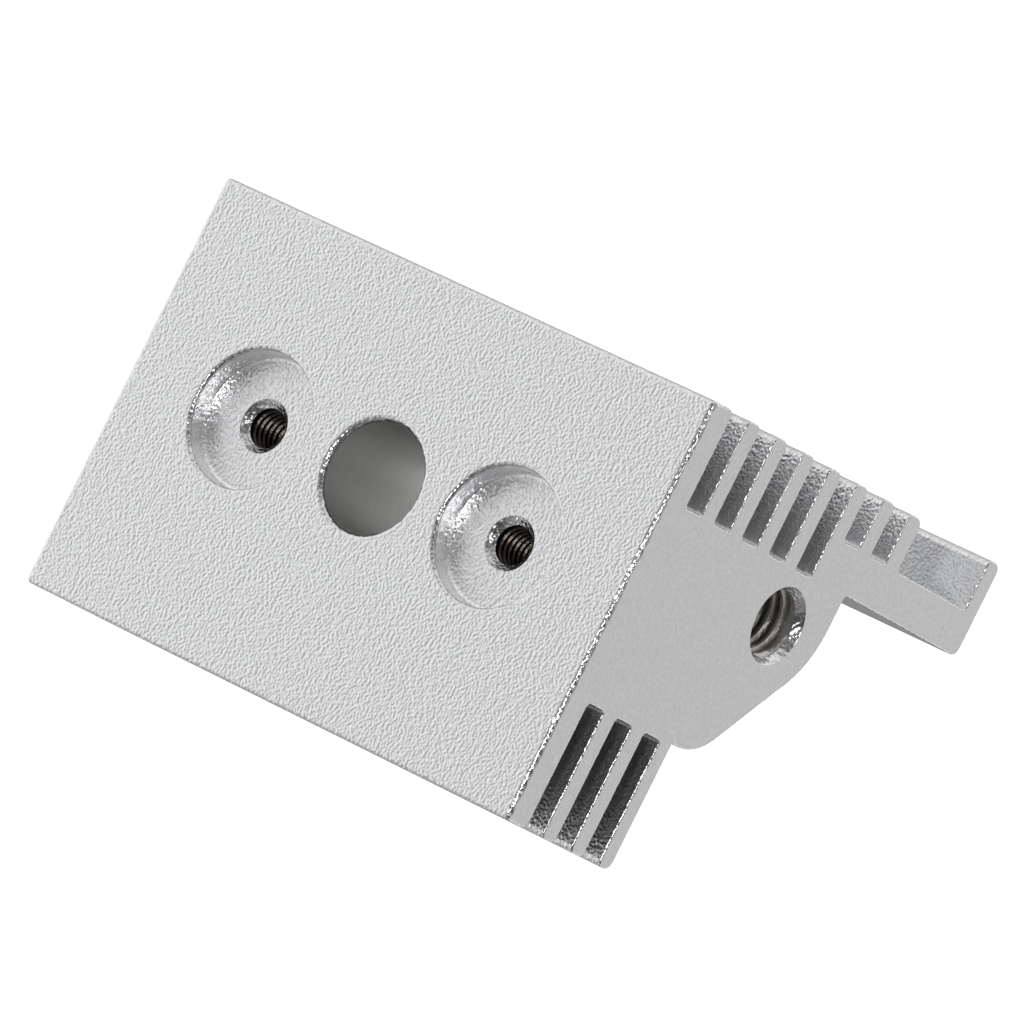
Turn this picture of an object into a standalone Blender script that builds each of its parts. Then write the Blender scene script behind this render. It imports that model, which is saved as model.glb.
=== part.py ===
"""Heat sink of a 3-D printer hotend, with the grub screw that clamps the heat-break in its bore.

The heat sink is one length of aluminium extrusion.  Its profile lies in the XY plane and its
length runs along +Z, so that it stands on its plain end.  The broad plate faces -Y, the side
with seven slots faces -X and the side with three slots faces +X.  The origin is on the floor
under the middle of the bounding box.

Inside the profile functions a place is given as (across, depth) in millimetres: across runs
from the seven-slot side to the three-slot side, and depth runs from the broad plate inwards.
"""

import math

import bmesh
import bpy
from mathutils import Matrix, Vector

MM = 0.001

# Driving dimensions, in millimetres.
LENGTH = 39.5
WIDTH = 27.0
DEPTH = 34.0

# Fins and slots, shared by both sides of the extrusion.
FIRST_SLOT_DEPTH = 2.1
SLOT_PITCH = 3.175
SLOT_WIDTH = 1.775
LONG_SLOT_COUNT = 5
SHORT_SLOT_COUNT = 2
RIGHT_SLOT_COUNT = 3
TIP_RADIUS = 0.45
MOUTH_RADIUS = 0.3
ROOT_RADIUS = 0.3

# Outer face of the last fin on the three-slot side.
LAST_RIGHT_FIN_THICKNESS = 1.25
LAST_RIGHT_SLOT_DEPTH = FIRST_SLOT_DEPTH + (RIGHT_SLOT_COUNT - 1) * SLOT_PITCH
RIGHT_FINS_END = LAST_RIGHT_SLOT_DEPTH + SLOT_WIDTH + LAST_RIGHT_FIN_THICKNESS

# Solid web between the two rows of slots.
WEB_NEAR = 6.25
WEB_FAR = 18.85
SHORT_SLOT_REACH = 3.4

# Flange with the wide notch, on the seven-slot side.
NOTCH_START = 24.45
FLANGE_THICKNESS = 1.3
FLANGE_REACH = 6.15

# Rounded back of the web: a large arc over the bolt hole, then a small nose.
BACK_DEPTH = 20.65
BACK_ARC_CENTRE = (8.4, 14.2)
BACK_ARC_RADIUS = BACK_DEPTH - BACK_ARC_CENTRE[1]
BACK_ARC_END = math.radians(45.0)
NOSE_CENTRE = (14.7, 12.15)
NOSE_RADIUS = 4.0
NOSE_START = math.radians(52.0)
NOSE_END = math.asin((RIGHT_FINS_END - NOSE_CENTRE[1]) / NOSE_RADIUS)

# Smooth through bore for the heat-break, along Y.
BORE_ACROSS = 12.5
BORE_DIAMETER = 7.0
BORE_CHAMFER = 0.3

# Counterbored M3 holes on each side of the bore, along Y.
SCREW_SPACING = 20.0
COUNTERBORE_DIAMETER = 8.6
COUNTERBORE_DEPTH = 1.5
M3_TAP_DIAMETER = 2.5
M3_COUNTERSINK = 0.4
M3_HOLE_DEPTH = 10.0

# Tapped M5 hole in the upper end face, along Z.
BOLT_HOLE_PLACE = (9.65, 15.75)
M5_TAP_DIAMETER = 4.2
M5_COUNTERSINK = 0.55
BOLT_HOLE_DEPTH = 10.0

# Grub screw that clamps the heat-break, along X through the nose.
GRUB_DEPTH = 13.2
GRUB_DIAMETER = 3.0
GRUB_LENGTH = 3.0
GRUB_CLEARANCE = 0.05
GRUB_SETBACK = 0.1
GRUB_POINT_CHAMFER = 0.35
GRUB_POINT_DIAMETER = GRUB_DIAMETER - 2.0 * GRUB_POINT_CHAMFER
GRUB_CUP_DIAMETER = 1.4
GRUB_CUP_DEPTH = 0.4
GRUB_SOCKET_ACROSS_FLATS = 1.5
GRUB_SOCKET_DEPTH = 1.5

# How finely curves are divided.
CORNER_STEPS = 3
ARC_STEPS = 8
HOLE_SEGMENTS = 40
SMALL_HOLE_SEGMENTS = 24
CUTTER_OVERSHOOT = 1.0
SHARP_ANGLE = math.radians(35.0)


def clear_scene():
    for item in list(bpy.data.objects):
        bpy.data.objects.remove(item, do_unlink=True)


def place(across, depth, height):
    """Turn (across, depth, height) in millimetres into a world position in metres."""
    return Vector(((across - WIDTH / 2.0) * MM, (depth - DEPTH / 2.0) * MM, height * MM))


def arc(centre, radius, start, end, steps):
    """Points along an arc, from the angle start to the angle end."""
    points = []
    for step in range(steps + 1):
        angle = start + (end - start) * step / steps
        points.append((centre[0] + radius * math.cos(angle), centre[1] + radius * math.sin(angle)))
    return points


def rounded_corner(before, corner, after, radius):
    """Points of the fillet that replaces a corner between two straight edges."""
    corner = Vector(corner)
    to_before = (Vector(before) - corner).normalized()
    to_after = (Vector(after) - corner).normalized()
    half_angle = to_before.angle(to_after) / 2.0
    setback = radius / math.tan(half_angle)
    first = corner + to_before * setback
    last = corner + to_after * setback
    centre = corner + (to_before + to_after).normalized() * (radius / math.sin(half_angle))
    points = []
    for step in range(CORNER_STEPS + 1):
        straight = first.lerp(last, step / CORNER_STEPS)
        spoke = (straight - centre).normalized()
        points.append(tuple(centre + spoke * radius))
    return points


def slot(index, mouth, floor, walks_back):
    """Corners of one slot, as (across, depth, radius), towards larger depth or walked back."""
    near = FIRST_SLOT_DEPTH + index * SLOT_PITCH
    far = near + SLOT_WIDTH
    corners = [
        (mouth, near, MOUTH_RADIUS),
        (floor, near, ROOT_RADIUS),
        (floor, far, ROOT_RADIUS),
        (mouth, far, MOUTH_RADIUS),
    ]
    if walks_back:
        corners.reverse()
    return corners


def profile_corners():
    """The outline of the extrusion, as corners (across, depth, fillet radius)."""
    corners = [(0.0, 0.0, 0.0), (WIDTH, 0.0, 0.0)]
    for index in range(RIGHT_SLOT_COUNT):
        corners += slot(index, WIDTH, WEB_FAR, False)
    corners.append((WIDTH, RIGHT_FINS_END, TIP_RADIUS))
    nose = arc(NOSE_CENTRE, NOSE_RADIUS, NOSE_END, NOSE_START, ARC_STEPS)
    corners += [(across, depth, 0.0) for across, depth in nose]
    back = arc(BACK_ARC_CENTRE, BACK_ARC_RADIUS, BACK_ARC_END, math.pi / 2.0, ARC_STEPS)
    corners += [(across, depth, 0.0) for across, depth in back]
    corners.append((FLANGE_REACH, BACK_DEPTH, ROOT_RADIUS))
    corners.append((FLANGE_REACH, DEPTH, TIP_RADIUS))
    corners.append((0.0, DEPTH, TIP_RADIUS))
    corners.append((0.0, DEPTH - FLANGE_THICKNESS, MOUTH_RADIUS))
    corners.append((SHORT_SLOT_REACH, DEPTH - FLANGE_THICKNESS, ROOT_RADIUS))
    corners.append((SHORT_SLOT_REACH, NOTCH_START, ROOT_RADIUS))
    corners.append((0.0, NOTCH_START, TIP_RADIUS))
    for index in reversed(range(LONG_SLOT_COUNT + SHORT_SLOT_COUNT)):
        floor = WEB_NEAR if index < LONG_SLOT_COUNT else SHORT_SLOT_REACH
        corners += slot(index, 0.0, floor, True)
    return corners


def profile_outline():
    """The outline with its fillets worked out, as a list of (across, depth)."""
    corners = profile_corners()
    outline = []
    count = len(corners)
    for index, (across, depth, radius) in enumerate(corners):
        if radius == 0.0:
            outline.append((across, depth))
            continue
        before = corners[index - 1][:2]
        after = corners[(index + 1) % count][:2]
        outline += rounded_corner(before, (across, depth), after, radius)
    return outline


def mesh_object(name, mesh_builder):
    mesh = bpy.data.meshes.new(name)
    bmesh.ops.recalc_face_normals(mesh_builder, faces=mesh_builder.faces)
    mesh_builder.to_mesh(mesh)
    mesh_builder.free()
    made = bpy.data.objects.new(name, mesh)
    bpy.context.scene.collection.objects.link(made)
    return made


def make_extrusion(name):
    builder = bmesh.new()
    lower = [builder.verts.new(place(across, depth, 0.0)) for across, depth in profile_outline()]
    face = builder.faces.new(lower)
    extruded = bmesh.ops.extrude_face_region(builder, geom=[face])
    raised = [item for item in extruded["geom"] if isinstance(item, bmesh.types.BMVert)]
    bmesh.ops.translate(builder, verts=raised, vec=(0.0, 0.0, LENGTH * MM))
    return mesh_object(name, builder)


def turned(name, rings, segments):
    """A solid of revolution about its own Z axis, from (height, radius) pairs in millimetres."""
    builder = bmesh.new()
    loops = []
    for height, radius in rings:
        loop = []
        for segment in range(segments):
            angle = 2.0 * math.pi * segment / segments
            spot = Vector((radius * math.cos(angle), radius * math.sin(angle), height)) * MM
            loop.append(builder.verts.new(spot))
        loops.append(loop)
    for lower, upper in zip(loops, loops[1:]):
        for segment in range(segments):
            following = (segment + 1) % segments
            builder.faces.new((lower[segment], lower[following], upper[following], upper[segment]))
    builder.faces.new(list(reversed(loops[0])))
    builder.faces.new(loops[-1])
    return mesh_object(name, builder)


def aim(target, origin, direction):
    """Put an object's origin at a world position, with its local Z along a direction."""
    turn = Vector((0.0, 0.0, 1.0)).rotation_difference(Vector(direction))
    target.matrix_world = Matrix.Translation(origin) @ turn.to_matrix().to_4x4()


def cut(target, cutter):
    cutter.hide_render = True
    cutter.display_type = "WIRE"
    modifier = target.modifiers.new(cutter.name, "BOOLEAN")
    modifier.operation = "DIFFERENCE"
    modifier.solver = "EXACT"
    modifier.object = cutter


def make_bore_cutter():
    radius = BORE_DIAMETER / 2.0
    through = DEPTH + CUTTER_OVERSHOOT
    rings = [
        (-CUTTER_OVERSHOOT, radius + BORE_CHAMFER + CUTTER_OVERSHOOT),
        (BORE_CHAMFER, radius),
        (through, radius),
    ]
    cutter = turned("bore_cutter", rings, HOLE_SEGMENTS)
    aim(cutter, place(BORE_ACROSS, 0.0, LENGTH / 2.0), (0.0, 1.0, 0.0))
    return cutter


def make_counterbored_cutter(name, height):
    seat = COUNTERBORE_DEPTH
    tap = M3_TAP_DIAMETER / 2.0
    rings = [
        (-CUTTER_OVERSHOOT, COUNTERBORE_DIAMETER / 2.0),
        (seat, COUNTERBORE_DIAMETER / 2.0),
        (seat, tap + M3_COUNTERSINK),
        (seat + M3_COUNTERSINK, tap),
        (seat + M3_HOLE_DEPTH, tap),
    ]
    cutter = turned(name, rings, SMALL_HOLE_SEGMENTS)
    aim(cutter, place(BORE_ACROSS, 0.0, height), (0.0, 1.0, 0.0))
    return cutter


def make_bolt_hole_cutter():
    tap = M5_TAP_DIAMETER / 2.0
    rings = [
        (-CUTTER_OVERSHOOT, tap + M5_COUNTERSINK + CUTTER_OVERSHOOT),
        (M5_COUNTERSINK, tap),
        (BOLT_HOLE_DEPTH, tap),
    ]
    cutter = turned("bolt_hole_cutter", rings, SMALL_HOLE_SEGMENTS)
    aim(cutter, place(*BOLT_HOLE_PLACE, LENGTH), (0.0, 0.0, -1.0))
    return cutter


def make_grub_hole_cutter():
    radius = GRUB_DIAMETER / 2.0 + GRUB_CLEARANCE
    outside = WEB_FAR + CUTTER_OVERSHOOT - BORE_ACROSS
    cutter = turned("grub_hole_cutter", [(0.0, radius), (outside, radius)], SMALL_HOLE_SEGMENTS)
    aim(cutter, place(BORE_ACROSS, GRUB_DEPTH, LENGTH / 2.0), (1.0, 0.0, 0.0))
    return cutter


def make_heat_sink(material):
    body = make_extrusion("heat_sink")
    cut(body, make_bore_cutter())
    middle = LENGTH / 2.0
    cut(body, make_counterbored_cutter("lower_counterbore_cutter", middle - SCREW_SPACING / 2.0))
    cut(body, make_counterbored_cutter("upper_counterbore_cutter", middle + SCREW_SPACING / 2.0))
    cut(body, make_bolt_hole_cutter())
    cut(body, make_grub_hole_cutter())
    finish(body, material)
    return body


def make_hex_socket_cutter():
    corner_radius = GRUB_SOCKET_ACROSS_FLATS / math.sqrt(3.0)
    rings = [
        (GRUB_LENGTH - GRUB_SOCKET_DEPTH, corner_radius),
        (GRUB_LENGTH + CUTTER_OVERSHOOT, corner_radius),
    ]
    return turned("hex_socket_cutter", rings, 6)


def make_cup_cutter():
    rings = [
        (-CUTTER_OVERSHOOT, GRUB_CUP_DIAMETER / 2.0 + CUTTER_OVERSHOOT),
        (GRUB_CUP_DEPTH, GRUB_CUP_DIAMETER / 2.0 - GRUB_CUP_DEPTH),
    ]
    return turned("cup_cutter", rings, SMALL_HOLE_SEGMENTS)


def make_grub_screw(material):
    """The screw is turned about its own Z axis, point at the origin, then aimed outwards."""
    radius = GRUB_DIAMETER / 2.0
    rings = [
        (0.0, GRUB_POINT_DIAMETER / 2.0),
        (GRUB_POINT_CHAMFER, radius),
        (GRUB_LENGTH, radius),
    ]
    screw = turned("clamp_grub_screw", rings, SMALL_HOLE_SEGMENTS)
    tip_across = BORE_ACROSS + BORE_DIAMETER / 2.0 + GRUB_SETBACK
    tip = place(tip_across, GRUB_DEPTH, LENGTH / 2.0)
    for cutter in (make_hex_socket_cutter(), make_cup_cutter()):
        aim(cutter, tip, (1.0, 0.0, 0.0))
        cut(screw, cutter)
    aim(screw, tip, (1.0, 0.0, 0.0))
    finish(screw, material)
    return screw


def make_material(name, colour, roughness, metallic):
    material = bpy.data.materials.new(name)
    material.use_nodes = True
    shader = material.node_tree.nodes["Principled BSDF"]
    shader.inputs["Base Color"].default_value = (*colour, 1.0)
    shader.inputs["Roughness"].default_value = roughness
    shader.inputs["Metallic"].default_value = metallic
    return material


def finish(made, material):
    """Give a piece its material and smooth shading that stops at its real edges."""
    made.data.materials.append(material)
    made.data.shade_smooth()
    made.data.set_sharp_from_angle(angle=SHARP_ANGLE)


def main():
    clear_scene()
    aluminium = make_material("blasted_aluminium", (0.72, 0.72, 0.72), 0.45, 1.0)
    steel = make_material("black_oxide_steel", (0.05, 0.05, 0.055), 0.4, 1.0)
    make_heat_sink(aluminium)
    make_grub_screw(steel)


main()
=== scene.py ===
"""Looks of the hotend heat sink: a bead-blasted aluminium extrusion with satin cut ends, tapped
holes, a smooth bore and a black grub screw in its nose.

Lengths of the part are in millimetres until they reach Blender, which gets metres.  The lamps,
the floor and the dome are in metres.  A place in the extrusion's profile is (across, depth):
across runs along +X from the seven-slot side, and depth runs along +Y from the broad plate.
"""

import math

import bmesh
import bpy
from mathutils import Matrix, Vector


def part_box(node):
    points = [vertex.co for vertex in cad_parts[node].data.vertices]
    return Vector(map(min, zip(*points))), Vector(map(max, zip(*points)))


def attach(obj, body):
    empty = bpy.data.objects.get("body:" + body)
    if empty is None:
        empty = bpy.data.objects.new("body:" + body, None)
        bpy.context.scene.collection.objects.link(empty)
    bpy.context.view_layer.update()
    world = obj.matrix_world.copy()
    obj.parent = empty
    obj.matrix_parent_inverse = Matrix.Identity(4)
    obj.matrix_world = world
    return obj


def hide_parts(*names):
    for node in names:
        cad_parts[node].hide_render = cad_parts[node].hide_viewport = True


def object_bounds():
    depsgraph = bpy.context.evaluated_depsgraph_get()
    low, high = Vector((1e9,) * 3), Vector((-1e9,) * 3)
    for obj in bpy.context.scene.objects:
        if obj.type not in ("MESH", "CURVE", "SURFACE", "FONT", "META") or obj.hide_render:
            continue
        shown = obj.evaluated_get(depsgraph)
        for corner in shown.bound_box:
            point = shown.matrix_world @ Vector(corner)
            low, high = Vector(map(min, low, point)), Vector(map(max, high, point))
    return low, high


MM = 0.001

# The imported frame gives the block's box, and everything below is placed from its low corner.
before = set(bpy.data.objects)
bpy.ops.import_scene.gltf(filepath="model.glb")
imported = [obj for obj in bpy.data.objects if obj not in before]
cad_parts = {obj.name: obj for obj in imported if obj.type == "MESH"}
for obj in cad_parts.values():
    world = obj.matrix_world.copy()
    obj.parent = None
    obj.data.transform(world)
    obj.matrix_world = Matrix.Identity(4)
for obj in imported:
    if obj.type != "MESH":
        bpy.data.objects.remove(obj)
CAD_LOW, CAD_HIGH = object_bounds()
LOW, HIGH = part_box("heat_sink")
WIDTH = (HIGH.x - LOW.x) / MM
DEPTH = (HIGH.y - LOW.y) / MM
LENGTH = (HIGH.z - LOW.z) / MM
MIDDLE = LENGTH / 2.0
SCREW_LOW, SCREW_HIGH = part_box("clamp_grub_screw")

# Fins and slots of the profile.
FIRST_SLOT_DEPTH = 2.1
SLOT_PITCH = 3.175
SLOT_WIDTH = 1.775
LONG_SLOT_COUNT = 5
SHORT_SLOT_COUNT = 2
RIGHT_SLOT_COUNT = 3
RIGHT_FINS_END = 11.475
WEB_NEAR = 6.25
WEB_FAR = 18.85
SHORT_SLOT_REACH = 3.4
NOTCH_START = 24.45
FLANGE_THICKNESS = 1.3
FLANGE_REACH = 6.15

# Rounded back of the web.
BACK_DEPTH = 20.65
BACK_ARC_CENTRE = (8.4, 14.2)
BACK_ARC_RADIUS = BACK_DEPTH - BACK_ARC_CENTRE[1]
BACK_ARC_END = math.radians(45.0)
NOSE_CENTRE = (14.7, 12.15)
NOSE_RADIUS = 4.0
NOSE_START = math.radians(52.0)
NOSE_END = math.asin((RIGHT_FINS_END - NOSE_CENTRE[1]) / NOSE_RADIUS)

# Corner radii of the profile, and the edge break that blasting leaves round the cut ends.
PLATE_CORNER_RADIUS = 0.3
TIP_RADIUS = 0.6
MOUTH_RADIUS = 0.42
ROOT_RADIUS = 0.3
PLATE_EDGE_BREAK = 0.28
FIN_EDGE_BREAK = 0.10
EDGE_BREAK_FADE = 1.2
MITRE_LIMIT = 0.5

# Holes.
BORE_ACROSS = 12.5
BORE_RADIUS = 3.5
BORE_CHAMFER = 0.32
SCREW_SPACING = 20.0
COUNTERBORE_RADIUS = 4.3
COUNTERBORE_DEPTH = 1.5
COUNTERBORE_RIM = 0.24
COUNTERBORE_FILLET = 0.25
M3_MAJOR = 3.0
M3_MINOR = 2.5
M3_PITCH = 0.5
M3_COUNTERSINK = (0.45, 0.45)
M3_THREAD_START = (0.5, 0.5)
M3_HOLE_DEPTH = 10.0
M5_PLACE = (9.65, 15.75)
M5_MAJOR = 5.0
M5_MINOR = 4.2
M5_PITCH = 0.8
M5_COUNTERSINK = (0.36, 0.52)
M5_THREAD_START = (0.5, 0.4)
M5_HOLE_DEPTH = 10.0
DRILL_POINT_ANGLE = math.radians(59.0)
PILOT_MARGIN = 0.03
TAP_LEAD_PITCHES = 2.0

# Grub screw.
GRUB_DEPTH = (SCREW_LOW.y + SCREW_HIGH.y) / 2.0 / MM - LOW.y / MM
GRUB_LENGTH = (SCREW_HIGH.x - SCREW_LOW.x) / MM
GRUB_THREAD_CLEARANCE = 0.04
GRUB_SOCKET_ACROSS_FLATS = 1.5
GRUB_SOCKET_DEPTH = 1.5
GRUB_SOCKET_CHAMFER = 0.12
GRUB_CUP_RADIUS = 0.7
GRUB_CUP_DEPTH = 0.4
GRUB_END_CHAMFER = 0.3
GRUB_ENVELOPE_MARGIN = 0.001

# How finely curves are divided.
CORNER_STEPS = 5
ARC_STEPS = 28
BREAK_STEPS = 4
RIM_STEPS = 5
HOLE_SEGMENTS = 96
THREAD_SEGMENTS = 56

# Cutters reach past the surface that they cut, and end in a short step or a small flat tip.
OVERSHOOT = 1.0
CUTTER_STEP = 0.01
CUTTER_TIP = 0.02
COUNTERSINK_TIP = 0.1
BORE_RIM_INSET = 0.2

# A metric thread's profile in one pitch: (share of the pitch, share of the thread's height).
THREAD_PROFILE = ((0.0, 0.0), (0.25, 0.0), (0.5625, 1.0), (0.6875, 1.0))

# Clean meshes: how far a flat face may turn, what counts as one point, and what counts as sharp.
FLAT_FACE_TURN = 1e-5
WELD_DISTANCE = 0.0004 * MM
SHARP_ANGLE = math.radians(30.0)
PLANE_MARGIN = 0.002

# Finishes.  Grain heights are in millimetres, and noise scales in cycles a metre.
BLASTED_COLOUR = (0.85, 0.855, 0.865)
BLASTED_ROUGHNESS = 0.36
# The notch's colour is a little darker than the plate's: painted shade on the flange wall.
NOTCH_PAINTED_SHADE_COLOUR = (0.82, 0.825, 0.835)
NOTCH_ROUGHNESS = 0.72
# The counterbore wall's colour is lighter than the plate's: painted light.
POCKET_PAINTED_LIGHT_COLOUR = (0.90, 0.90, 0.91)
POCKET_ROUGHNESS = 0.30
RIM_COLOUR = (0.74, 0.74, 0.75)
RIM_ROUGHNESS = 0.25
GRAIN_SCALE = 5400.0
GRAIN_HEIGHT = 0.058
NOTCH_GRAIN_HEIGHT = 0.24
POCKET_GRAIN_HEIGHT = 0.035
RIM_GRAIN_SCALE = 4000.0
RIM_GRAIN_HEIGHT = 0.06
SLOT_GRAIN_HEIGHT = 0.068
LEFT_SLOT_COLOURS = ((0.84, 0.84, 0.85), (0.87, 0.875, 0.885))
# The right-hand slots are painted darker than the left-hand ones: painted shade, for the dimmer
# light on that side.
RIGHT_SLOT_PAINTED_SHADE_COLOURS = ((0.66, 0.66, 0.66), (0.60, 0.60, 0.605))
BLAST_REACH = (0.3, 3.9)
SLOT_GRAIN_LEFT = 0.42

# Cut ends.  A contrast is the part of a noise's range over which a finish changes.
CUT_END_COLOUR = (0.735, 0.735, 0.735)
CUT_END_SHADE = 0.91
CUT_END_ROUGHNESS = (0.33, 0.40)
CUT_END_HEIGHT = 0.012
MOTTLE_SCALE = 3600.0
NICK_SCALE = 2600.0
FINE_SCALE = 5200.0
SOFT_CONTRAST = (0.3, 0.7)
MOTTLE_CONTRAST = (0.35, 0.65)
NICK_CONTRAST = (0.72, 0.80)

# Bore: the rings left by the reamer are thin along the bore's axis.
BORE_COLOURS = ((0.69, 0.69, 0.68), (0.73, 0.73, 0.72))
BORE_ROUGHNESS = 0.45
BORE_RING_SCALE = 700.0
BORE_RING_STRETCH = (0.15, 6.0, 0.15)
BORE_RING_HEIGHT = 0.002

# Threads: (crest colour, root colour), and the radii between which one turns into the other. The
# lighter crests are a painted highlight, the darker roots are painted shade, and the M3 holes'
# dark tone is painted shade too.
M3_THREAD_PAINTED_LIGHT_COLOURS = ((0.08, 0.07, 0.06), (0.03, 0.025, 0.022))
M3_THREAD_ROUGHNESS = 0.35
M3_PAINTED_SHADE_RADII = (M3_MINOR / 2.0 + 0.03, M3_MAJOR / 2.0 - 0.08)
M5_THREAD_PAINTED_LIGHT_COLOURS = ((0.86, 0.85, 0.82), (0.52, 0.49, 0.44))
M5_THREAD_ROUGHNESS = 0.38
M5_PAINTED_SHADE_RADII = (M5_MINOR / 2.0 + 0.05, M5_MAJOR / 2.0 - 0.15)
THREAD_TEAR_SCALE = 4200.0
THREAD_TEAR_HEIGHT = 0.03

# Black oxide of the grub screw.
OXIDE_COLOURS = ((0.045, 0.045, 0.05), (0.10, 0.10, 0.105))
OXIDE_ROUGHNESS = (0.32, 0.45)
OXIDE_WEAR_SCALE = 900.0
OXIDE_WEAR_CONTRAST = (0.4, 0.75)
OXIDE_FINE_SCALE = 5000.0
OXIDE_HEIGHT = 0.008

# Light.  The floor glows a little, so that the shadow on it stays light.  Each lamp is a square
# softbox: (azimuth, elevation, distance, size, power), in degrees, metres and watts.
FLOOR_SIZE = 4.0
FLOOR_DROP = 0.05 * MM
FLOOR_GLOW = 0.97
FLOOR_ALBEDO = 0.30
LAMPS = {
    "key": (6.0, 22.5, 0.6, 0.06, 1.0),
    "top": (-22.0, 62.0, 0.6, 0.10, 0.3),
}

# What the metal mirrors: a dome that is brighter below than above, with soft dark areas in it,
# each (azimuth, elevation, dark out to, faded out at, share of the light left), in degrees.
DOME_RADIUS = 2.0
DOME_SEGMENTS = 64
DOME_BELOW = 1.1
DOME_ABOVE = 0.66
DOME_FADE = (0.25, 0.6)
DARK_AREAS = (
    (11.0, 36.0, 22.0, 100.0, 0.02),
    (95.0, -8.0, 18.0, 62.0, 0.28),
    (180.0, -28.0, 18.0, 54.0, 0.14),
    (-100.0, -34.0, 12.0, 48.0, 0.5),
)

# Camera: a long lens, turned well over on its side.
CAMERA_TARGET = Vector((-3.20, -1.12, 18.36)) * MM
CAMERA_AZIMUTH = 1.94
CAMERA_ELEVATION = 36.2
CAMERA_ROLL = math.radians(115.4)
CAMERA_DISTANCE = 663.0 * MM
CAMERA_LENS = 389.2
SENSOR_WIDTH = 36.0


def place(across, depth, height):
    """The point at a place in the profile, and at a height above the plain end."""
    return LOW + Vector((across, depth, height)) * MM


# ---------------------------------------------------------------- profile


def arc(centre, radius, start, end, steps):
    points = []
    for step in range(steps + 1):
        angle = start + (end - start) * step / steps
        points.append((centre[0] + radius * math.cos(angle), centre[1] + radius * math.sin(angle)))
    return points


def rounded_corner(before, corner, after, radius):
    """The fillet that replaces a corner between two straight edges."""
    corner = Vector(corner)
    to_before = (Vector(before) - corner).normalized()
    to_after = (Vector(after) - corner).normalized()
    half_angle = to_before.angle(to_after) / 2.0
    centre = corner + (to_before + to_after).normalized() * (radius / math.sin(half_angle))
    setback = radius / math.tan(half_angle)
    first = corner + to_before * setback - centre
    last = corner + to_after * setback - centre
    sweep = first.angle_signed(last)
    turned_spokes = [first.copy() for _ in range(CORNER_STEPS + 1)]
    for step, spoke in enumerate(turned_spokes):
        spoke.rotate(Matrix.Rotation(-sweep * step / CORNER_STEPS, 2))
    return [tuple(centre + spoke) for spoke in turned_spokes]


def slot(index, mouth, floor, walks_back):
    """A slot's four corners, from the plate's side to the far side or the other way."""
    near = FIRST_SLOT_DEPTH + index * SLOT_PITCH
    far = near + SLOT_WIDTH
    corners = [
        (mouth, near, MOUTH_RADIUS),
        (floor, near, ROOT_RADIUS),
        (floor, far, ROOT_RADIUS),
        (mouth, far, MOUTH_RADIUS),
    ]
    if walks_back:
        corners.reverse()
    return corners


def profile_corners():
    """The outline as corners (across, depth, fillet radius), counter-clockwise from above."""
    corners = [(0.0, 0.0, PLATE_CORNER_RADIUS), (WIDTH, 0.0, PLATE_CORNER_RADIUS)]
    for index in range(RIGHT_SLOT_COUNT):
        corners += slot(index, WIDTH, WEB_FAR, False)
    corners.append((WIDTH, RIGHT_FINS_END, TIP_RADIUS))
    nose = arc(NOSE_CENTRE, NOSE_RADIUS, NOSE_END, NOSE_START, ARC_STEPS)
    corners += [(across, depth, 0.0) for across, depth in nose]
    back = arc(BACK_ARC_CENTRE, BACK_ARC_RADIUS, BACK_ARC_END, math.pi / 2.0, ARC_STEPS)
    corners += [(across, depth, 0.0) for across, depth in back]
    corners.append((FLANGE_REACH, BACK_DEPTH, ROOT_RADIUS))
    corners.append((FLANGE_REACH, DEPTH, TIP_RADIUS))
    corners.append((0.0, DEPTH, TIP_RADIUS))
    corners.append((0.0, DEPTH - FLANGE_THICKNESS, MOUTH_RADIUS))
    corners.append((SHORT_SLOT_REACH, DEPTH - FLANGE_THICKNESS, ROOT_RADIUS))
    corners.append((SHORT_SLOT_REACH, NOTCH_START, ROOT_RADIUS))
    corners.append((0.0, NOTCH_START, TIP_RADIUS))
    for index in reversed(range(LONG_SLOT_COUNT + SHORT_SLOT_COUNT)):
        floor = WEB_NEAR if index < LONG_SLOT_COUNT else SHORT_SLOT_REACH
        corners += slot(index, 0.0, floor, True)
    return corners


def profile_outline():
    corners = profile_corners()
    outline = []
    count = len(corners)
    for index, (across, depth, radius) in enumerate(corners):
        if radius == 0.0:
            outline.append((across, depth))
            continue
        before = corners[index - 1][:2]
        after = corners[(index + 1) % count][:2]
        outline += rounded_corner(before, (across, depth), after, radius)
    return outline


def inward_directions(outline):
    """For each point, the mitred direction that moves both its edges inwards by one unit."""
    directions = []
    count = len(outline)
    for index in range(count):
        here = Vector(outline[index])
        arriving = (here - Vector(outline[index - 1])).normalized()
        leaving = (Vector(outline[(index + 1) % count]) - here).normalized()
        first = Vector((-arriving.y, arriving.x))
        second = Vector((-leaving.y, leaving.x))
        middle = (first + second).normalized()
        directions.append(middle / max(middle.dot(first), MITRE_LIMIT))
    return directions


def edge_break(depth):
    """Radius of the edge break: largest along the plate's face, which is blasted hardest."""
    share = min(max(depth / EDGE_BREAK_FADE, 0.0), 1.0)
    return PLATE_EDGE_BREAK + (FIN_EDGE_BREAK - PLATE_EDGE_BREAK) * share


# ---------------------------------------------------------------- meshes


def mesh_object(name, builder, material, smooth=True):
    mesh = bpy.data.meshes.new(name)
    bmesh.ops.recalc_face_normals(builder, faces=builder.faces)
    builder.to_mesh(mesh)
    builder.free()
    mesh.materials.append(material)
    if smooth:
        mesh.shade_smooth()
    made = bpy.data.objects.new(name, mesh)
    bpy.context.scene.collection.objects.link(made)
    return made


def bridge(builder, first, second):
    """Join two rings of the same count with a strip of faces."""
    count = len(first)
    for index in range(count):
        after = (index + 1) % count
        builder.faces.new((first[index], first[after], second[after], second[index]))


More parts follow.
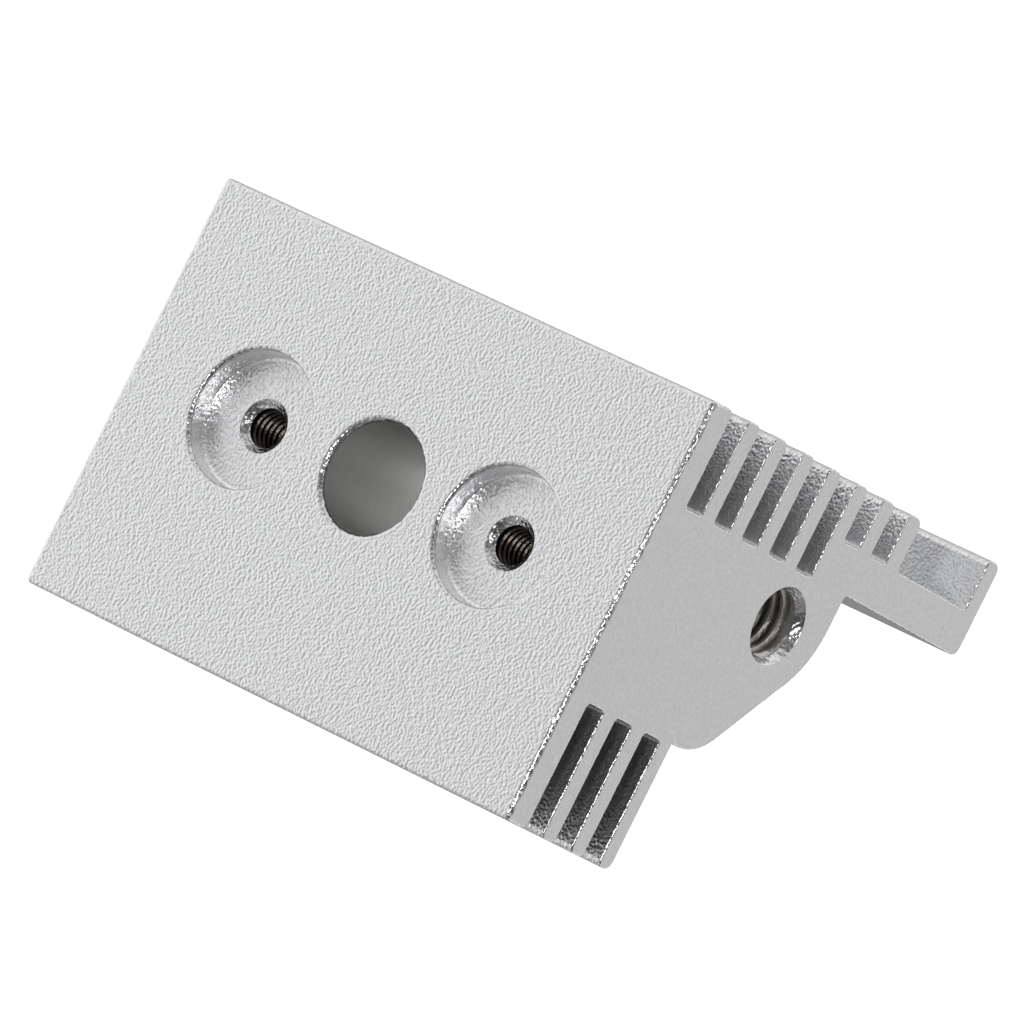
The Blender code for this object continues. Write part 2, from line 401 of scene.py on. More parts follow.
def make_extrusion(name, material):
    """The profile drawn out along Z, with a rounded edge break round both ends."""
    outline = profile_outline()
    inward = inward_directions(outline)
    builder = bmesh.new()
    rings = []
    ring_steps = range(BREAK_STEPS + 1)
    for at_top in (False, True):
        for step in reversed(ring_steps) if at_top else ring_steps:
            angle = math.pi / 2.0 * step / BREAK_STEPS
            ring = []
            for (across, depth), direction in zip(outline, inward):
                radius = edge_break(depth)
                inset = radius * (1.0 - math.sin(angle))
                rise = radius * (1.0 - math.cos(angle))
                height = LENGTH - rise if at_top else rise
                spot = Vector((across, depth)) + direction * inset
                ring.append(builder.verts.new(place(spot.x, spot.y, height)))
            rings.append(ring)
    for lower, upper in zip(rings, rings[1:]):
        bridge(builder, lower, upper)
    builder.faces.new(rings[0])
    builder.faces.new(rings[-1])
    return mesh_object(name, builder, material)


def turned(name, rings, material, segments=HOLE_SEGMENTS):
    """A solid of revolution about its own Z axis, from (height, radius) pairs."""
    builder = bmesh.new()
    loops = []
    for height, radius in rings:
        loop = []
        for segment in range(segments):
            angle = 2.0 * math.pi * segment / segments
            spot = Vector((radius * math.cos(angle), radius * math.sin(angle), height)) * MM
            loop.append(builder.verts.new(spot))
        loops.append(loop)
    for lower, upper in zip(loops, loops[1:]):
        bridge(builder, lower, upper)
    builder.faces.new(loops[0])
    builder.faces.new(loops[-1])
    return mesh_object(name, builder, material)


def threaded(name, start, length, pitch, radii, material, start_height=(-math.inf, 1.0)):
    """A helical thread about its own Z axis, from the height start upwards.

    Its surface is one strip of rows that climbs a pitch each turn, so that the end of a row
    joins the row one turn above.  Both ends are closed by a fan of faces.  The thread grows to
    its full height over a length, given with where that begins in start_height.
    """
    inner, outer = radii
    rows_per_turn = len(THREAD_PROFILE)
    row_count = int(round(length / pitch)) * rows_per_turn
    grow_from, grow_over = start_height
    builder = bmesh.new()

    def corner(row, segment):
        share, rise = THREAD_PROFILE[row % rows_per_turn]
        turn = segment / THREAD_SEGMENTS
        height = start + pitch * (row // rows_per_turn + share + turn)
        growth = min(max((height - grow_from) / grow_over, 0.0), 1.0)
        radius = inner + (outer - inner) * rise * growth
        angle = 2.0 * math.pi * turn
        return Vector((radius * math.cos(angle), radius * math.sin(angle), height)) * MM

    grid = {}
    for row in range(row_count + rows_per_turn + 1):
        last_segment = THREAD_SEGMENTS if row <= row_count else 1
        for segment in range(last_segment):
            grid[row, segment] = builder.verts.new(corner(row, segment))
    for row in range(row_count + 1):
        grid[row, THREAD_SEGMENTS] = grid[row + rows_per_turn, 0]
    for row in range(row_count):
        for segment in range(THREAD_SEGMENTS):
            quad = [(row, segment), (row, segment + 1), (row + 1, segment + 1), (row + 1, segment)]
            builder.faces.new([grid[spot] for spot in quad])
    for row, level in ((0, start), (row_count, start + length + pitch)):
        rim = [grid[row, segment] for segment in range(THREAD_SEGMENTS + 1)]
        rim += [grid[row + step, 0] for step in range(rows_per_turn - 1, 0, -1)]
        hub = builder.verts.new(Vector((0.0, 0.0, level)) * MM)
        for first, second in zip(rim, rim[1:] + rim[:1]):
            builder.faces.new((first, second, hub))
    return mesh_object(name, builder, material)


def aim(target, origin, direction):
    """Put a tool's own origin at a point, and its Z axis along a direction."""
    turn = Vector((0.0, 0.0, 1.0)).rotation_difference(Vector(direction))
    target.matrix_world = Matrix.Translation(origin) @ turn.to_matrix().to_4x4()


def apply_boolean(target, tool, operation="DIFFERENCE"):
    modifier = target.modifiers.new("boolean", "BOOLEAN")
    modifier.operation = operation
    modifier.solver = "EXACT"
    modifier.material_mode = "TRANSFER"
    modifier.object = tool
    bpy.context.view_layer.update()
    shaped = target.evaluated_get(bpy.context.evaluated_depsgraph_get())
    mesh = bpy.data.meshes.new_from_object(shaped)
    target.modifiers.clear()
    target.data = mesh
    bpy.data.objects.remove(tool, do_unlink=True)


def remove_slivers(target):
    """Take out the faces with no area that the booleans leave."""
    shape = bmesh.new()
    shape.from_mesh(target.data)
    bmesh.ops.remove_doubles(shape, verts=shape.verts, dist=WELD_DISTANCE)
    bmesh.ops.dissolve_degenerate(shape, edges=shape.edges, dist=WELD_DISTANCE)
    bmesh.ops.triangulate(shape, faces=[face for face in shape.faces if len(face.verts) > 4])
    bmesh.ops.dissolve_degenerate(shape, edges=shape.edges, dist=WELD_DISTANCE)
    shape.to_mesh(target.data)
    shape.free()


def set_shading(target):
    """Smooth curves, flat planes, and sharp edges at corners and where the finish changes."""
    mesh = target.data
    mesh.shade_smooth()
    mesh.set_sharp_from_angle(angle=SHARP_ANGLE)
    finishes = {}
    for polygon in mesh.polygons:
        polygon.use_smooth = max(abs(share) for share in polygon.normal) < 1.0 - FLAT_FACE_TURN
        for key in polygon.edge_keys:
            finishes.setdefault(key, set()).add(polygon.material_index)
    sharp = mesh.attributes["sharp_edge"].data
    for edge in mesh.edges:
        if len(finishes[edge.key]) > 1:
            sharp[edge.index].value = True
    mesh.update()


def rim_arc(radius, rounding):
    """Rings that flare a hole's mouth out in a quarter circle, from the mouth inwards."""
    rings = []
    for step in range(RIM_STEPS + 1):
        angle = math.pi / 2.0 * step / RIM_STEPS
        drop = rounding * (1.0 - math.cos(angle))
        spread = rounding * (1.0 - math.sin(angle))
        rings.append((drop, radius + spread))
    return rings


def fillet_arc(radius, rounding, depth):
    """Rings that round the foot of a hole's wall into its floor at a depth."""
    rings = []
    for step in range(RIM_STEPS + 1):
        angle = math.pi / 2.0 * step / RIM_STEPS
        drop = rounding * math.sin(angle)
        pull = rounding * (1.0 - math.cos(angle))
        rings.append((depth - rounding + drop, radius - pull))
    return rings


def drill_point(depth, radius):
    """Rings of the cone that a drill leaves at the bottom of a hole."""
    fall = (radius - CUTTER_TIP) / math.tan(DRILL_POINT_ANGLE)
    return [(depth, radius), (depth + fall, CUTTER_TIP)]


def cut_bore(body, rim_metal, bore_metal):
    """The smooth through bore, with a rounded rim at the plate."""
    mouth = place(BORE_ACROSS, 0.0, MIDDLE)
    inwards = (0.0, 1.0, 0.0)
    rings = [(-OVERSHOOT, BORE_RADIUS), (DEPTH + OVERSHOOT, BORE_RADIUS)]
    through = turned("bore_tool", rings, bore_metal)
    aim(through, mouth, inwards)
    apply_boolean(body, through)
    flare = rim_arc(BORE_RADIUS, BORE_CHAMFER)
    step = (BORE_CHAMFER + CUTTER_STEP, BORE_RADIUS - BORE_RIM_INSET)
    rim = turned("bore_rim_tool", [(-OVERSHOOT, flare[0][1])] + flare + [step], rim_metal)
    aim(rim, mouth, inwards)
    apply_boolean(body, rim)


def cut_tapped_hole(body, origin, direction, sizes, depth, thread_start, metal):
    """The helical thread of a tap, and the drilled hole with its drill point.

    The thread is cut first: the other way round, the tap's end can stay as a skin across the hole.
    """
    major, minor, pitch = sizes
    turns = math.floor((depth - pitch) / pitch)
    radii = (minor / 2.0, major / 2.0)
    start = -TAP_LEAD_PITCHES * pitch
    tap = threaded("tap_tool", start, (turns + 1) * pitch, pitch, radii, metal, thread_start)
    aim(tap, origin, direction)
    apply_boolean(body, tap)
    pilot_radius = minor / 2.0 - PILOT_MARGIN
    drill = [(-OVERSHOOT, pilot_radius)] + drill_point(depth, pilot_radius)
    pilot = turned("drill_tool", drill, metal)
    aim(pilot, origin, direction)
    apply_boolean(body, pilot)


def cut_countersink(body, origin, direction, hole_radius, size, metal):
    """A cone with its size given as how much wider than the hole it is, and how deep."""
    widening, depth = size
    above = OVERSHOOT * widening / depth
    rings = [
        (-OVERSHOOT, hole_radius + widening + above),
        (depth, hole_radius),
        (depth + CUTTER_STEP, COUNTERSINK_TIP),
    ]
    tool = turned("countersink_tool", rings, metal)
    aim(tool, origin, direction)
    apply_boolean(body, tool)


def cut_counterbored_hole(body, height, pocket_metal, rim_metal, thread_metal):
    """A counterbore with a rounded rim and foot, and a tapped M3 hole in its floor."""
    face = place(BORE_ACROSS, 0.0, height)
    inwards = (0.0, 1.0, 0.0)
    rings = [(-OVERSHOOT, COUNTERBORE_RADIUS + COUNTERBORE_RIM)]
    rings += rim_arc(COUNTERBORE_RADIUS, COUNTERBORE_RIM)
    rings += fillet_arc(COUNTERBORE_RADIUS, COUNTERBORE_FILLET, COUNTERBORE_DEPTH)
    pocket = turned("counterbore_tool", rings, pocket_metal)
    aim(pocket, face, inwards)
    apply_boolean(body, pocket)
    floor = place(BORE_ACROSS, COUNTERBORE_DEPTH, height)
    sizes = (M3_MAJOR, M3_MINOR, M3_PITCH)
    cut_tapped_hole(body, floor, inwards, sizes, M3_HOLE_DEPTH, M3_THREAD_START, thread_metal)
    cut_countersink(body, floor, inwards, M3_MINOR / 2.0, M3_COUNTERSINK, rim_metal)


def grub_thread_origin():
    """Where the grub screw's thread and its hole's thread both start, so that they mesh."""
    return place(BORE_ACROSS + BORE_RADIUS - OVERSHOOT, GRUB_DEPTH, MIDDLE)


def cut_grub_hole(body, metal):
    """The tapped hole from the bore out through the nose."""
    reach = WEB_FAR - BORE_ACROSS - BORE_RADIUS + 3.0 * OVERSHOOT
    radii = (M3_MINOR / 2.0, M3_MAJOR / 2.0)
    tap = threaded("grub_tap_tool", 0.0, reach, M3_PITCH, radii, metal)
    aim(tap, grub_thread_origin(), (1.0, 0.0, 0.0))
    apply_boolean(body, tap)


def profile_place(polygon):
    """A face's middle as (across, depth)."""
    return (polygon.center.x - LOW.x) / MM, (polygon.center.y - LOW.y) / MM


def is_on_end(mesh, polygon):
    heights = [mesh.vertices[index].co.z for index in polygon.vertices]
    margin = PLANE_MARGIN * MM
    return max(heights) < LOW.z + margin or min(heights) > HIGH.z - margin


def is_on_edge_break(polygon):
    from_end = min(polygon.center.z - LOW.z, HIGH.z - polygon.center.z) / MM
    return from_end < edge_break(profile_place(polygon)[1])


def slot_side(polygon):
    """The side, left or right, whose slot has this face on a wall or its floor, or None."""
    across, depth = profile_place(polygon)
    index = math.floor((depth - FIRST_SLOT_DEPTH + PLANE_MARGIN) / SLOT_PITCH)
    into_pitch = depth - FIRST_SLOT_DEPTH - index * SLOT_PITCH
    if index < 0 or into_pitch > SLOT_WIDTH + PLANE_MARGIN:
        return None
    if across > WEB_FAR - PLANE_MARGIN:
        return "right" if index < RIGHT_SLOT_COUNT else None
    reach = WEB_NEAR if index < LONG_SLOT_COUNT else SHORT_SLOT_REACH
    on_left = across < reach + PLANE_MARGIN and index < LONG_SLOT_COUNT + SHORT_SLOT_COUNT
    return "left" if on_left else None


def is_in_notch(polygon):
    across, depth = profile_place(polygon)
    in_depth = NOTCH_START < depth < DEPTH - FLANGE_THICKNESS + PLANE_MARGIN
    return in_depth and across < SHORT_SLOT_REACH + PLANE_MARGIN


def counterbore_finish(polygon):
    """A counterbore's rim, its wall with the fillet, and its floor differ."""
    depth = profile_place(polygon)[1]
    if depth < COUNTERBORE_RIM:
        return "rim"
    return "pocket" if depth < COUNTERBORE_DEPTH - PLANE_MARGIN else "blasted"


def paint(body, finishes):
    """Give each face of the ends, edge breaks, slots, notch and counterbores its finish."""
    mesh = body.data
    for finish in ("cut_end", "left_slot", "right_slot", "notch"):
        mesh.materials.append(finishes[finish])
    indices = {material.name: index for index, material in enumerate(mesh.materials)}
    blasted = indices[finishes["blasted"].name]
    pocket = indices[finishes["pocket"].name]
    for polygon in mesh.polygons:
        finish = None
        if is_on_end(mesh, polygon):
            finish = "cut_end"
        elif polygon.material_index == pocket:
            finish = counterbore_finish(polygon)
        elif polygon.material_index == blasted and is_on_edge_break(polygon):
            finish = "rim"
        elif polygon.material_index == blasted and slot_side(polygon):
            finish = slot_side(polygon) + "_slot"
        elif polygon.material_index == blasted and is_in_notch(polygon):
            finish = "notch"
        if finish:
            polygon.material_index = indices[finishes[finish].name]


def make_heat_sink(finishes):
    body = make_extrusion("heat_sink_block", finishes["blasted"])
    cut_bore(body, finishes["rim"], finishes["bore"])
    for side in (-1, 1):
        height = MIDDLE + side * SCREW_SPACING / 2.0
        cut_counterbored_hole(
            body, height, finishes["pocket"], finishes["rim"], finishes["m3_thread"]
        )
    end = place(*M5_PLACE, LENGTH)
    down = (0.0, 0.0, -1.0)
    sizes = (M5_MAJOR, M5_MINOR, M5_PITCH)
    metal = finishes["m5_thread"]
    cut_tapped_hole(body, end, down, sizes, M5_HOLE_DEPTH, M5_THREAD_START, metal)
    cut_countersink(body, end, down, M5_MINOR / 2.0, M5_COUNTERSINK, finishes["rim"])
    cut_grub_hole(body, finishes["grub_thread"])
    paint(body, finishes)
    remove_slivers(body)
    set_shading(body)
    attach(body, "heat_sink_block")
    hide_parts("heat_sink")


def make_hexagon_tool(origin, material):
    """The hexagon socket's cutter: its mouth is flared by a small chamfer."""
    corner_radius = GRUB_SOCKET_ACROSS_FLATS / math.sqrt(3.0)
    rings = [
        (-OVERSHOOT, corner_radius + GRUB_SOCKET_CHAMFER + OVERSHOOT),
        (GRUB_SOCKET_CHAMFER, corner_radius),
        (GRUB_SOCKET_DEPTH, corner_radius),
        (GRUB_SOCKET_DEPTH + corner_radius / 2.0, CUTTER_TIP),
    ]
    tool = turned("socket_tool", rings, material, segments=6)
    aim(tool, origin, (-1.0, 0.0, 0.0))
    return tool


def make_grub_screw(steel):
    """An M3 set screw with a cup point towards the bore and a hexagon socket outwards."""
    radii = (M3_MINOR / 2.0 - GRUB_THREAD_CLEARANCE, M3_MAJOR / 2.0 - GRUB_THREAD_CLEARANCE)
    reach = GRUB_LENGTH + 3.0 * OVERSHOOT
    screw = threaded("grub_screw", 0.0, reach, M3_PITCH, radii, steel)
    aim(screw, grub_thread_origin(), (1.0, 0.0, 0.0))
    tip = Vector((SCREW_LOW.x, LOW.y + GRUB_DEPTH * MM, LOW.z + MIDDLE * MM))
    back = Vector((SCREW_HIGH.x, tip.y, tip.z))
    wide = radii[1] + GRUB_ENVELOPE_MARGIN
    narrow = wide - GRUB_END_CHAMFER
    envelope = turned("envelope_tool", [
        (0.0, narrow),
        (GRUB_END_CHAMFER, wide),
        (GRUB_LENGTH - GRUB_END_CHAMFER, wide),
        (GRUB_LENGTH, narrow),
    ], steel)
    aim(envelope, tip, (1.0, 0.0, 0.0))
    bpy.context.view_layer.update()
    screw.data.transform(screw.matrix_world)
    screw.matrix_world = Matrix.Identity(4)
    apply_boolean(screw, envelope, "INTERSECT")
    apply_boolean(screw, make_hexagon_tool(back, steel))
    cup = turned("cup_tool", [
        (-OVERSHOOT, GRUB_CUP_RADIUS * (1.0 + OVERSHOOT / GRUB_CUP_DEPTH)),
        (GRUB_CUP_DEPTH, CUTTER_TIP),
    ], steel)
    aim(cup, tip, (1.0, 0.0, 0.0))
    apply_boolean(screw, cup)
    remove_slivers(screw)
    set_shading(screw)
    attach(screw, "clamp_screw")
    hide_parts("clamp_grub_screw")


# ---------------------------------------------------------------- materials


def new_material(name):
    """A metal, with its node tree and its shader."""
    material = bpy.data.materials.new(name)
    material.use_nodes = True
    tree = material.node_tree
    shader = tree.nodes["Principled BSDF"]
    shader.inputs["Metallic"].default_value = 1.0
    return material, tree, shader


def node(tree, kind, **settings):
    made = tree.nodes.new(kind)
    for name, value in settings.items():
        setattr(made, name, value)
    return made


def add_noise(tree, scale, detail=1.5, roughness=0.45, stretch=None):
    """A noise that is fixed to the object.  stretch makes it finer along each axis."""
    where = node(tree, "ShaderNodeTexCoord")
    noise = node(tree, "ShaderNodeTexNoise")
    noise.inputs["Scale"].default_value = scale
    noise.inputs["Detail"].default_value = detail
    noise.inputs["Roughness"].default_value = roughness
    if stretch is None:
        tree.links.new(where.outputs["Object"], noise.inputs["Vector"])
        return noise.outputs["Fac"]
    mapping = node(tree, "ShaderNodeMapping")
    mapping.inputs["Scale"].default_value = stretch
    tree.links.new(where.outputs["Object"], mapping.inputs["Vector"])
    tree.links.new(mapping.outputs["Vector"], noise.inputs["Vector"])
    return noise.outputs["Fac"]


def add_bump(tree, shader, height_socket, height):
    bump = node(tree, "ShaderNodeBump")
    bump.inputs["Distance"].default_value = height * MM
    bump.inputs["Strength"].default_value = 1.0
    tree.links.new(height_socket, bump.inputs["Height"])
    tree.links.new(bump.outputs["Normal"], shader.inputs["Normal"])
    return bump


def add_range(tree, value_socket, source, target):
    """Carry a value from one range to another, clamped and eased at both ends."""
    change = node(tree, "ShaderNodeMapRange", interpolation_type="SMOOTHSTEP")
    change.inputs["From Min"].default_value = source[0]
    change.inputs["From Max"].default_value = source[1]
    change.inputs["To Min"].default_value = target[0]
    change.inputs["To Max"].default_value = target[1]
    tree.links.new(value_socket, change.inputs["Value"])
    return change.outputs["Result"]


def add_colour_range(tree, shader, value_socket, source, dark, light):
    """Blend the base colour from dark to light as the value crosses a range."""
    share = add_range(tree, value_socket, source, (0.0, 1.0))
    mix = node(tree, "ShaderNodeMix", data_type="RGBA")
    mix.inputs["A"].default_value = (*dark, 1.0)
    mix.inputs["B"].default_value = (*light, 1.0)
    tree.links.new(share, mix.inputs["Factor"])
    tree.links.new(mix.outputs["Result"], shader.inputs["Base Color"])


def make_blasted(name, colour, roughness, grain_height, grain_scale=GRAIN_SCALE):
    """Bead-blasted aluminium: a fine worm-like grain with a matt sparkle."""
    material, tree, shader = new_material(name)
    shader.inputs["Base Color"].default_value = (*colour, 1.0)
    shader.inputs["Roughness"].default_value = roughness
    grain = add_noise(tree, grain_scale, detail=0.0)
    add_bump(tree, shader, grain, grain_height)
    return material


def make_slot_finish(name, inner_colour, mouth_colour):
    """A slot: blasted by its mouth, and smoother where the beads don't reach."""
    material, tree, shader = new_material(name)
    where = node(tree, "ShaderNodeTexCoord")
    parts = node(tree, "ShaderNodeSeparateXYZ")
    off_centre = node(tree, "ShaderNodeMath", operation="ABSOLUTE")
    tree.links.new(where.outputs["Object"], parts.inputs["Vector"])
    tree.links.new(parts.outputs["X"], off_centre.inputs[0])
    inner, outer = HIGH.x - BLAST_REACH[1] * MM, HIGH.x - BLAST_REACH[0] * MM
    blast = add_range(tree, off_centre.outputs["Value"], (inner, outer), (0.0, 1.0))
    grain = add_noise(tree, GRAIN_SCALE, detail=0.0)
    bump = add_bump(tree, shader, grain, SLOT_GRAIN_HEIGHT)
    strength = add_range(tree, blast, (0.0, 1.0), (SLOT_GRAIN_LEFT, 1.0))
    tree.links.new(strength, bump.inputs["Strength"])
    # The colours blend from the slot's depth to its mouth; the right-hand slots' darker colours
    # are painted shade.
    add_colour_range(tree, shader, blast, (0.0, 1.0), inner_colour, mouth_colour)
    shader.inputs["Roughness"].default_value = BLASTED_ROUGHNESS
    return material


def make_cut_end():
    """A saw-cut and lightly blasted end: satin, with faint mottling and a few bright nicks."""
    material, tree, shader = new_material("satin_cut_aluminium")
    mottle = add_noise(tree, MOTTLE_SCALE, detail=3.0, roughness=0.6)
    darker = tuple(CUT_END_SHADE * share for share in CUT_END_COLOUR)
    add_colour_range(tree, shader, mottle, MOTTLE_CONTRAST, darker, CUT_END_COLOUR)
    roughness = add_range(tree, mottle, SOFT_CONTRAST, CUT_END_ROUGHNESS)
    tree.links.new(roughness, shader.inputs["Roughness"])
    nicks = add_range(tree, add_noise(tree, NICK_SCALE, detail=0.0), NICK_CONTRAST, (0.0, 1.0))
    fine = add_noise(tree, FINE_SCALE)
    both = node(tree, "ShaderNodeMath", operation="ADD")
    tree.links.new(nicks, both.inputs[0])
    tree.links.new(fine, both.inputs[1])
    add_bump(tree, shader, both.outputs["Value"], CUT_END_HEIGHT)
    return material


def make_bore_finish():
    """A reamed bore: smooth, with faint rings left by the tool."""
    material, tree, shader = new_material("reamed_bore_aluminium")
    rings = add_noise(
        tree, BORE_RING_SCALE, detail=3.0, roughness=0.6, stretch=BORE_RING_STRETCH
    )
    add_colour_range(tree, shader, rings, SOFT_CONTRAST, *BORE_COLOURS)
    shader.inputs["Roughness"].default_value = BORE_ROUGHNESS
    add_bump(tree, shader, rings, BORE_RING_HEIGHT)
    return material


def add_distance(tree, first, second):
    """The distance from an axis, given the two coordinates measured from it."""
    pair = node(tree, "ShaderNodeCombineXYZ")
    length = node(tree, "ShaderNodeVectorMath", operation="LENGTH")
    tree.links.new(first, pair.inputs["X"])
    tree.links.new(second, pair.inputs["Y"])
    tree.links.new(pair.outputs["Vector"], length.inputs[0])
    return length.outputs["Value"]


def add_offset(tree, value_socket, centre):
    shift = node(tree, "ShaderNodeMath", operation="SUBTRACT")
    shift.inputs[1].default_value = centre
    tree.links.new(value_socket, shift.inputs[0])
    return shift.outputs["Value"]


def add_magnitude(tree, value_socket):
    size = node(tree, "ShaderNodeMath", operation="ABSOLUTE")
    tree.links.new(value_socket, size.inputs[0])
    return size.outputs["Value"]


def make_thread_finish(name, off_axis, radii, colours, roughness):
    """A tapped thread: a painted highlight on its torn crests, and painted shade in its roots.

    off_axis makes the socket that gives the distance from the hole's axis.
    """
    material, tree, shader = new_material(name)
    where = node(tree, "ShaderNodeTexCoord")
    parts = node(tree, "ShaderNodeSeparateXYZ")
    tree.links.new(where.outputs["Object"], parts.inputs["Vector"])
    distance = off_axis(tree, parts)
    # Painted highlight at the crests and painted shade towards the roots, by the distance from the
    # axis.
    add_colour_range(tree, shader, distance, (radii[0] * MM, radii[1] * MM), *colours)
    shader.inputs["Roughness"].default_value = roughness
    tear = add_noise(tree, THREAD_TEAR_SCALE, detail=1.0)
    add_bump(tree, shader, tear, THREAD_TEAR_HEIGHT)
    return material


def off_m5_axis(tree, parts):
    axis = place(*M5_PLACE, 0.0)
    first = add_offset(tree, parts.outputs["X"], axis.x)
    second = add_offset(tree, parts.outputs["Y"], axis.y)
    return add_distance(tree, first, second)


def off_m3_axes(tree, parts):
    """The M3 holes lie at the same distance above and below the middle."""
    axis = place(BORE_ACROSS, 0.0, MIDDLE)
    from_middle = add_magnitude(tree, add_offset(tree, parts.outputs["Z"], axis.z))
    from_hole = add_offset(tree, from_middle, SCREW_SPACING / 2.0 * MM)
    return add_distance(tree, add_offset(tree, parts.outputs["X"], axis.x), from_hole)


def off_grub_axis(tree, parts):
    axis = place(0.0, GRUB_DEPTH, MIDDLE)
    first = add_offset(tree, parts.outputs["Y"], axis.y)
    second = add_offset(tree, parts.outputs["Z"], axis.z)
    return add_distance(tree, first, second)


def make_black_oxide():
    material, tree, shader = new_material("black_oxide_steel")
    wear = add_noise(tree, OXIDE_WEAR_SCALE, detail=3.0, roughness=0.6)
    add_colour_range(tree, shader, wear, OXIDE_WEAR_CONTRAST, *OXIDE_COLOURS)
    roughness = add_range(tree, wear, SOFT_CONTRAST, OXIDE_ROUGHNESS)
    tree.links.new(roughness, shader.inputs["Roughness"])
    fine = add_noise(tree, OXIDE_FINE_SCALE)
    add_bump(tree, shader, fine, OXIDE_HEIGHT)
    return material


# ---------------------------------------------------------------- surroundings


def make_floor():
    """A white sweep.  The metal doesn't mirror it, because the dome stands in for it there."""
    builder = bmesh.new()
    bmesh.ops.create_grid(builder, x_segments=1, y_segments=1, size=FLOOR_SIZE)
    material = bpy.data.materials.new("pale_floor")
    material.use_nodes = True
    shader = material.node_tree.nodes["Principled BSDF"]
    shader.inputs["Base Color"].default_value = (FLOOR_ALBEDO, FLOOR_ALBEDO, FLOOR_ALBEDO, 1.0)
    shader.inputs["Roughness"].default_value = 1.0
    shader.inputs["Specular IOR Level"].default_value = 0.0
    shader.inputs["Emission Color"].default_value = (1.0, 1.0, 1.0, 1.0)
    shader.inputs["Emission Strength"].default_value = FLOOR_GLOW
    floor = mesh_object("floor", builder, material, smooth=False)
    floor.location.z = CAD_LOW.z - FLOOR_DROP
    floor.visible_glossy = False


def sky_direction(azimuth, elevation):
    """A unit vector towards a place in the sky, with azimuth 0 in front of the plate."""
    turn, rise = math.radians(azimuth), math.radians(elevation)
    return Vector((
        math.sin(turn) * math.cos(rise), -math.cos(turn) * math.cos(rise), math.sin(rise)
    ))


def make_lamp(name, azimuth, elevation, distance, size, power):
    """A square softbox that faces the middle of the block."""
    light = bpy.data.lights.new(name, "AREA")
    light.shape = "SQUARE"
    light.size = size
    light.energy = power
    lamp = bpy.data.objects.new(name, light)
    bpy.context.scene.collection.objects.link(lamp)
    back = sky_direction(azimuth, elevation)
    lamp.location = Vector((0.0, 0.0, MIDDLE * MM)) + back * distance
    lamp.rotation_mode = "QUATERNION"
    lamp.rotation_quaternion = (-back).to_track_quat("-Z", "Y")


def add_dark_area(tree, direction_socket, strength_socket, area):
    """Darken the dome's light around one direction, and fade out with the angle from it."""
    azimuth, elevation, dark_to, faded_at, left = area
    nearness = node(tree, "ShaderNodeVectorMath", operation="DOT_PRODUCT")
    nearness.inputs[1].default_value = sky_direction(azimuth, elevation)
    tree.links.new(direction_socket, nearness.inputs[0])
    angle = node(tree, "ShaderNodeMath", operation="ARCCOSINE")
    tree.links.new(nearness.outputs["Value"], angle.inputs[0])
    limits = (math.radians(dark_to), math.radians(faded_at))
    share = add_range(tree, angle.outputs["Value"], limits, (left, 1.0))
    product = node(tree, "ShaderNodeMath", operation="MULTIPLY")
    tree.links.new(strength_socket, product.inputs[0])
    tree.links.new(share, product.inputs[1])
    return product.outputs["Value"]


def make_dome():
    """The surroundings that the metal mirrors.  Only reflections show them."""
    builder = bmesh.new()
    bmesh.ops.create_uvsphere(
        builder, u_segments=DOME_SEGMENTS, v_segments=DOME_SEGMENTS // 2, radius=DOME_RADIUS
    )
    material = bpy.data.materials.new("dome")
    material.use_nodes = True
    tree = material.node_tree
    shader = tree.nodes["Principled BSDF"]
    shader.inputs["Base Color"].default_value = (0.0, 0.0, 0.0, 1.0)
    shader.inputs["Specular IOR Level"].default_value = 0.0
    shader.inputs["Emission Color"].default_value = (1.0, 1.0, 1.0, 1.0)
    where = node(tree, "ShaderNodeTexCoord")
    direction = node(tree, "ShaderNodeVectorMath", operation="NORMALIZE")
    parts = node(tree, "ShaderNodeSeparateXYZ")
    tree.links.new(where.outputs["Object"], direction.inputs[0])
    tree.links.new(direction.outputs["Vector"], parts.inputs["Vector"])
    strength = add_range(tree, parts.outputs["Z"], DOME_FADE, (DOME_BELOW, DOME_ABOVE))
    for area in DARK_AREAS:
        strength = add_dark_area(tree, direction.outputs["Vector"], strength, area)
    tree.links.new(strength, shader.inputs["Emission Strength"])
    dome = mesh_object("dome", builder, material)
    dome.visible_camera = False
    dome.visible_diffuse = False
    dome.visible_shadow = False


def make_world():
    world = bpy.data.worlds.new("studio")
    world.use_nodes = True
    background = world.node_tree.nodes["Background"]
    background.inputs["Color"].default_value = (1.0, 1.0, 1.0, 1.0)
    background.inputs["Strength"].default_value = 1.0
    bpy.context.scene.world = world


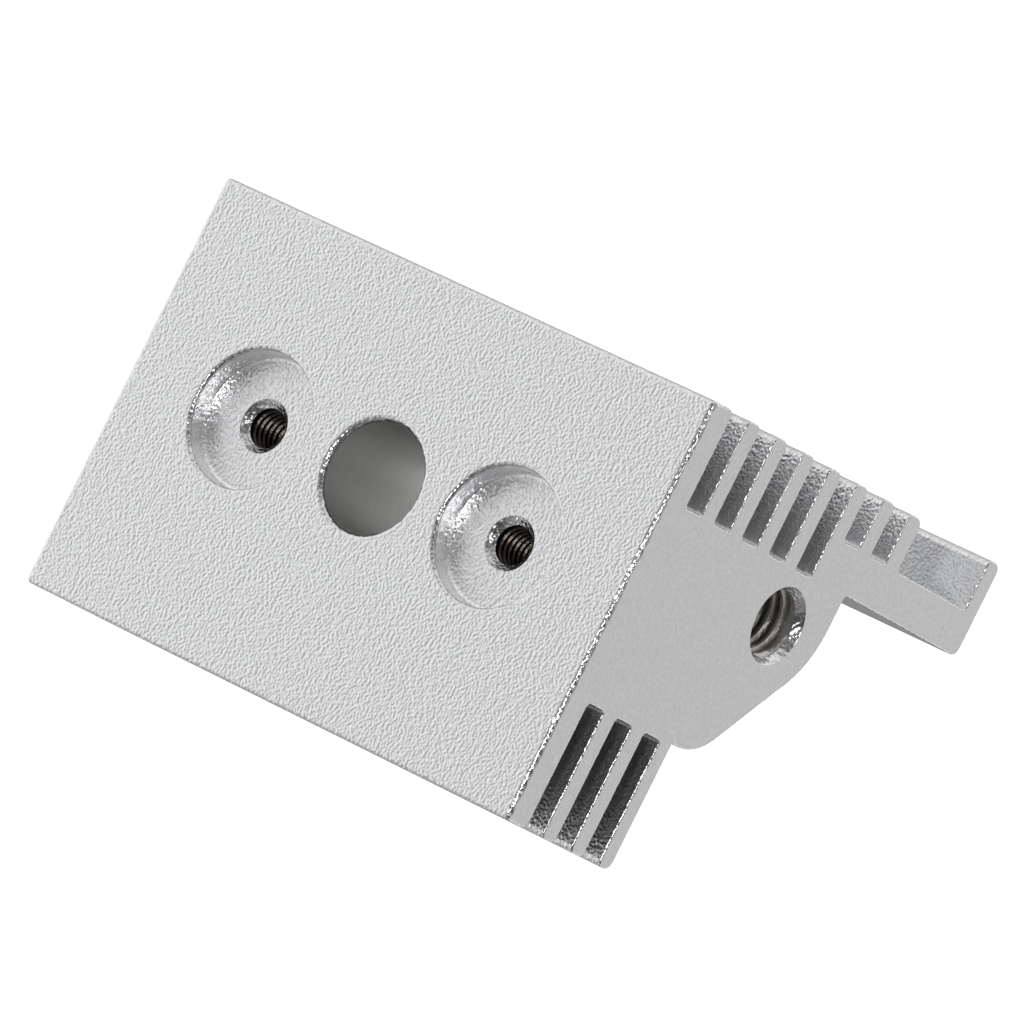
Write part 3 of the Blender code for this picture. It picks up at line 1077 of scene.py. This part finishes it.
def make_camera():
    camera = bpy.data.cameras.new("camera")
    camera.sensor_width = SENSOR_WIDTH
    camera.lens = CAMERA_LENS
    rig = bpy.data.objects.new("camera", camera)
    bpy.context.scene.collection.objects.link(rig)
    forward = -sky_direction(CAMERA_AZIMUTH, CAMERA_ELEVATION)
    position = Matrix.Translation(CAMERA_TARGET - forward * CAMERA_DISTANCE)
    level = forward.to_track_quat("-Z", "Y").to_matrix().to_4x4()
    roll = Matrix.Rotation(CAMERA_ROLL, 4, "Z")
    rig.matrix_world = position @ level @ roll
    bpy.context.scene.camera = rig


def main():
    make_camera()
    make_world()
    make_floor()
    make_dome()
    for name, settings in LAMPS.items():
        make_lamp(name, *settings)
    bpy.context.scene.view_settings.view_transform = "Standard"
    # The thread colours paint a highlight on the crests and shade in the roots.
    m3_painted_light = (M3_PAINTED_SHADE_RADII, M3_THREAD_PAINTED_LIGHT_COLOURS, M3_THREAD_ROUGHNESS)
    m5_painted_light = (M5_PAINTED_SHADE_RADII, M5_THREAD_PAINTED_LIGHT_COLOURS, M5_THREAD_ROUGHNESS)
    make_heat_sink({
        "blasted": make_blasted(
            "bead_blasted_aluminium", BLASTED_COLOUR, BLASTED_ROUGHNESS, GRAIN_HEIGHT
        ),
        # The notch's slightly darker colour is painted shade.
        "notch": make_blasted(
            "blasted_notch_painted_shade_aluminium", NOTCH_PAINTED_SHADE_COLOUR, NOTCH_ROUGHNESS, NOTCH_GRAIN_HEIGHT
        ),
        "rim": make_blasted(
            "blasted_rim_aluminium", RIM_COLOUR, RIM_ROUGHNESS, RIM_GRAIN_HEIGHT, RIM_GRAIN_SCALE
        ),
        # The counterbore wall's lighter colour is painted light.
        "pocket": make_blasted(
            "counterbore_painted_light_aluminium", POCKET_PAINTED_LIGHT_COLOUR, POCKET_ROUGHNESS, POCKET_GRAIN_HEIGHT
        ),
        "left_slot": make_slot_finish("left_slot_aluminium", *LEFT_SLOT_COLOURS),
        # The right-hand slots' darker colours are painted shade.
        "right_slot": make_slot_finish("right_slot_painted_shade_aluminium", *RIGHT_SLOT_PAINTED_SHADE_COLOURS),
        "cut_end": make_cut_end(),
        "bore": make_bore_finish(),
        "m3_thread": make_thread_finish("m3_thread", off_m3_axes, *m3_painted_light),
        "m5_thread": make_thread_finish("m5_thread", off_m5_axis, *m5_painted_light),
        "grub_thread": make_thread_finish("grub_thread", off_grub_axis, *m3_painted_light),
    })
    make_grub_screw(make_black_oxide())


main()
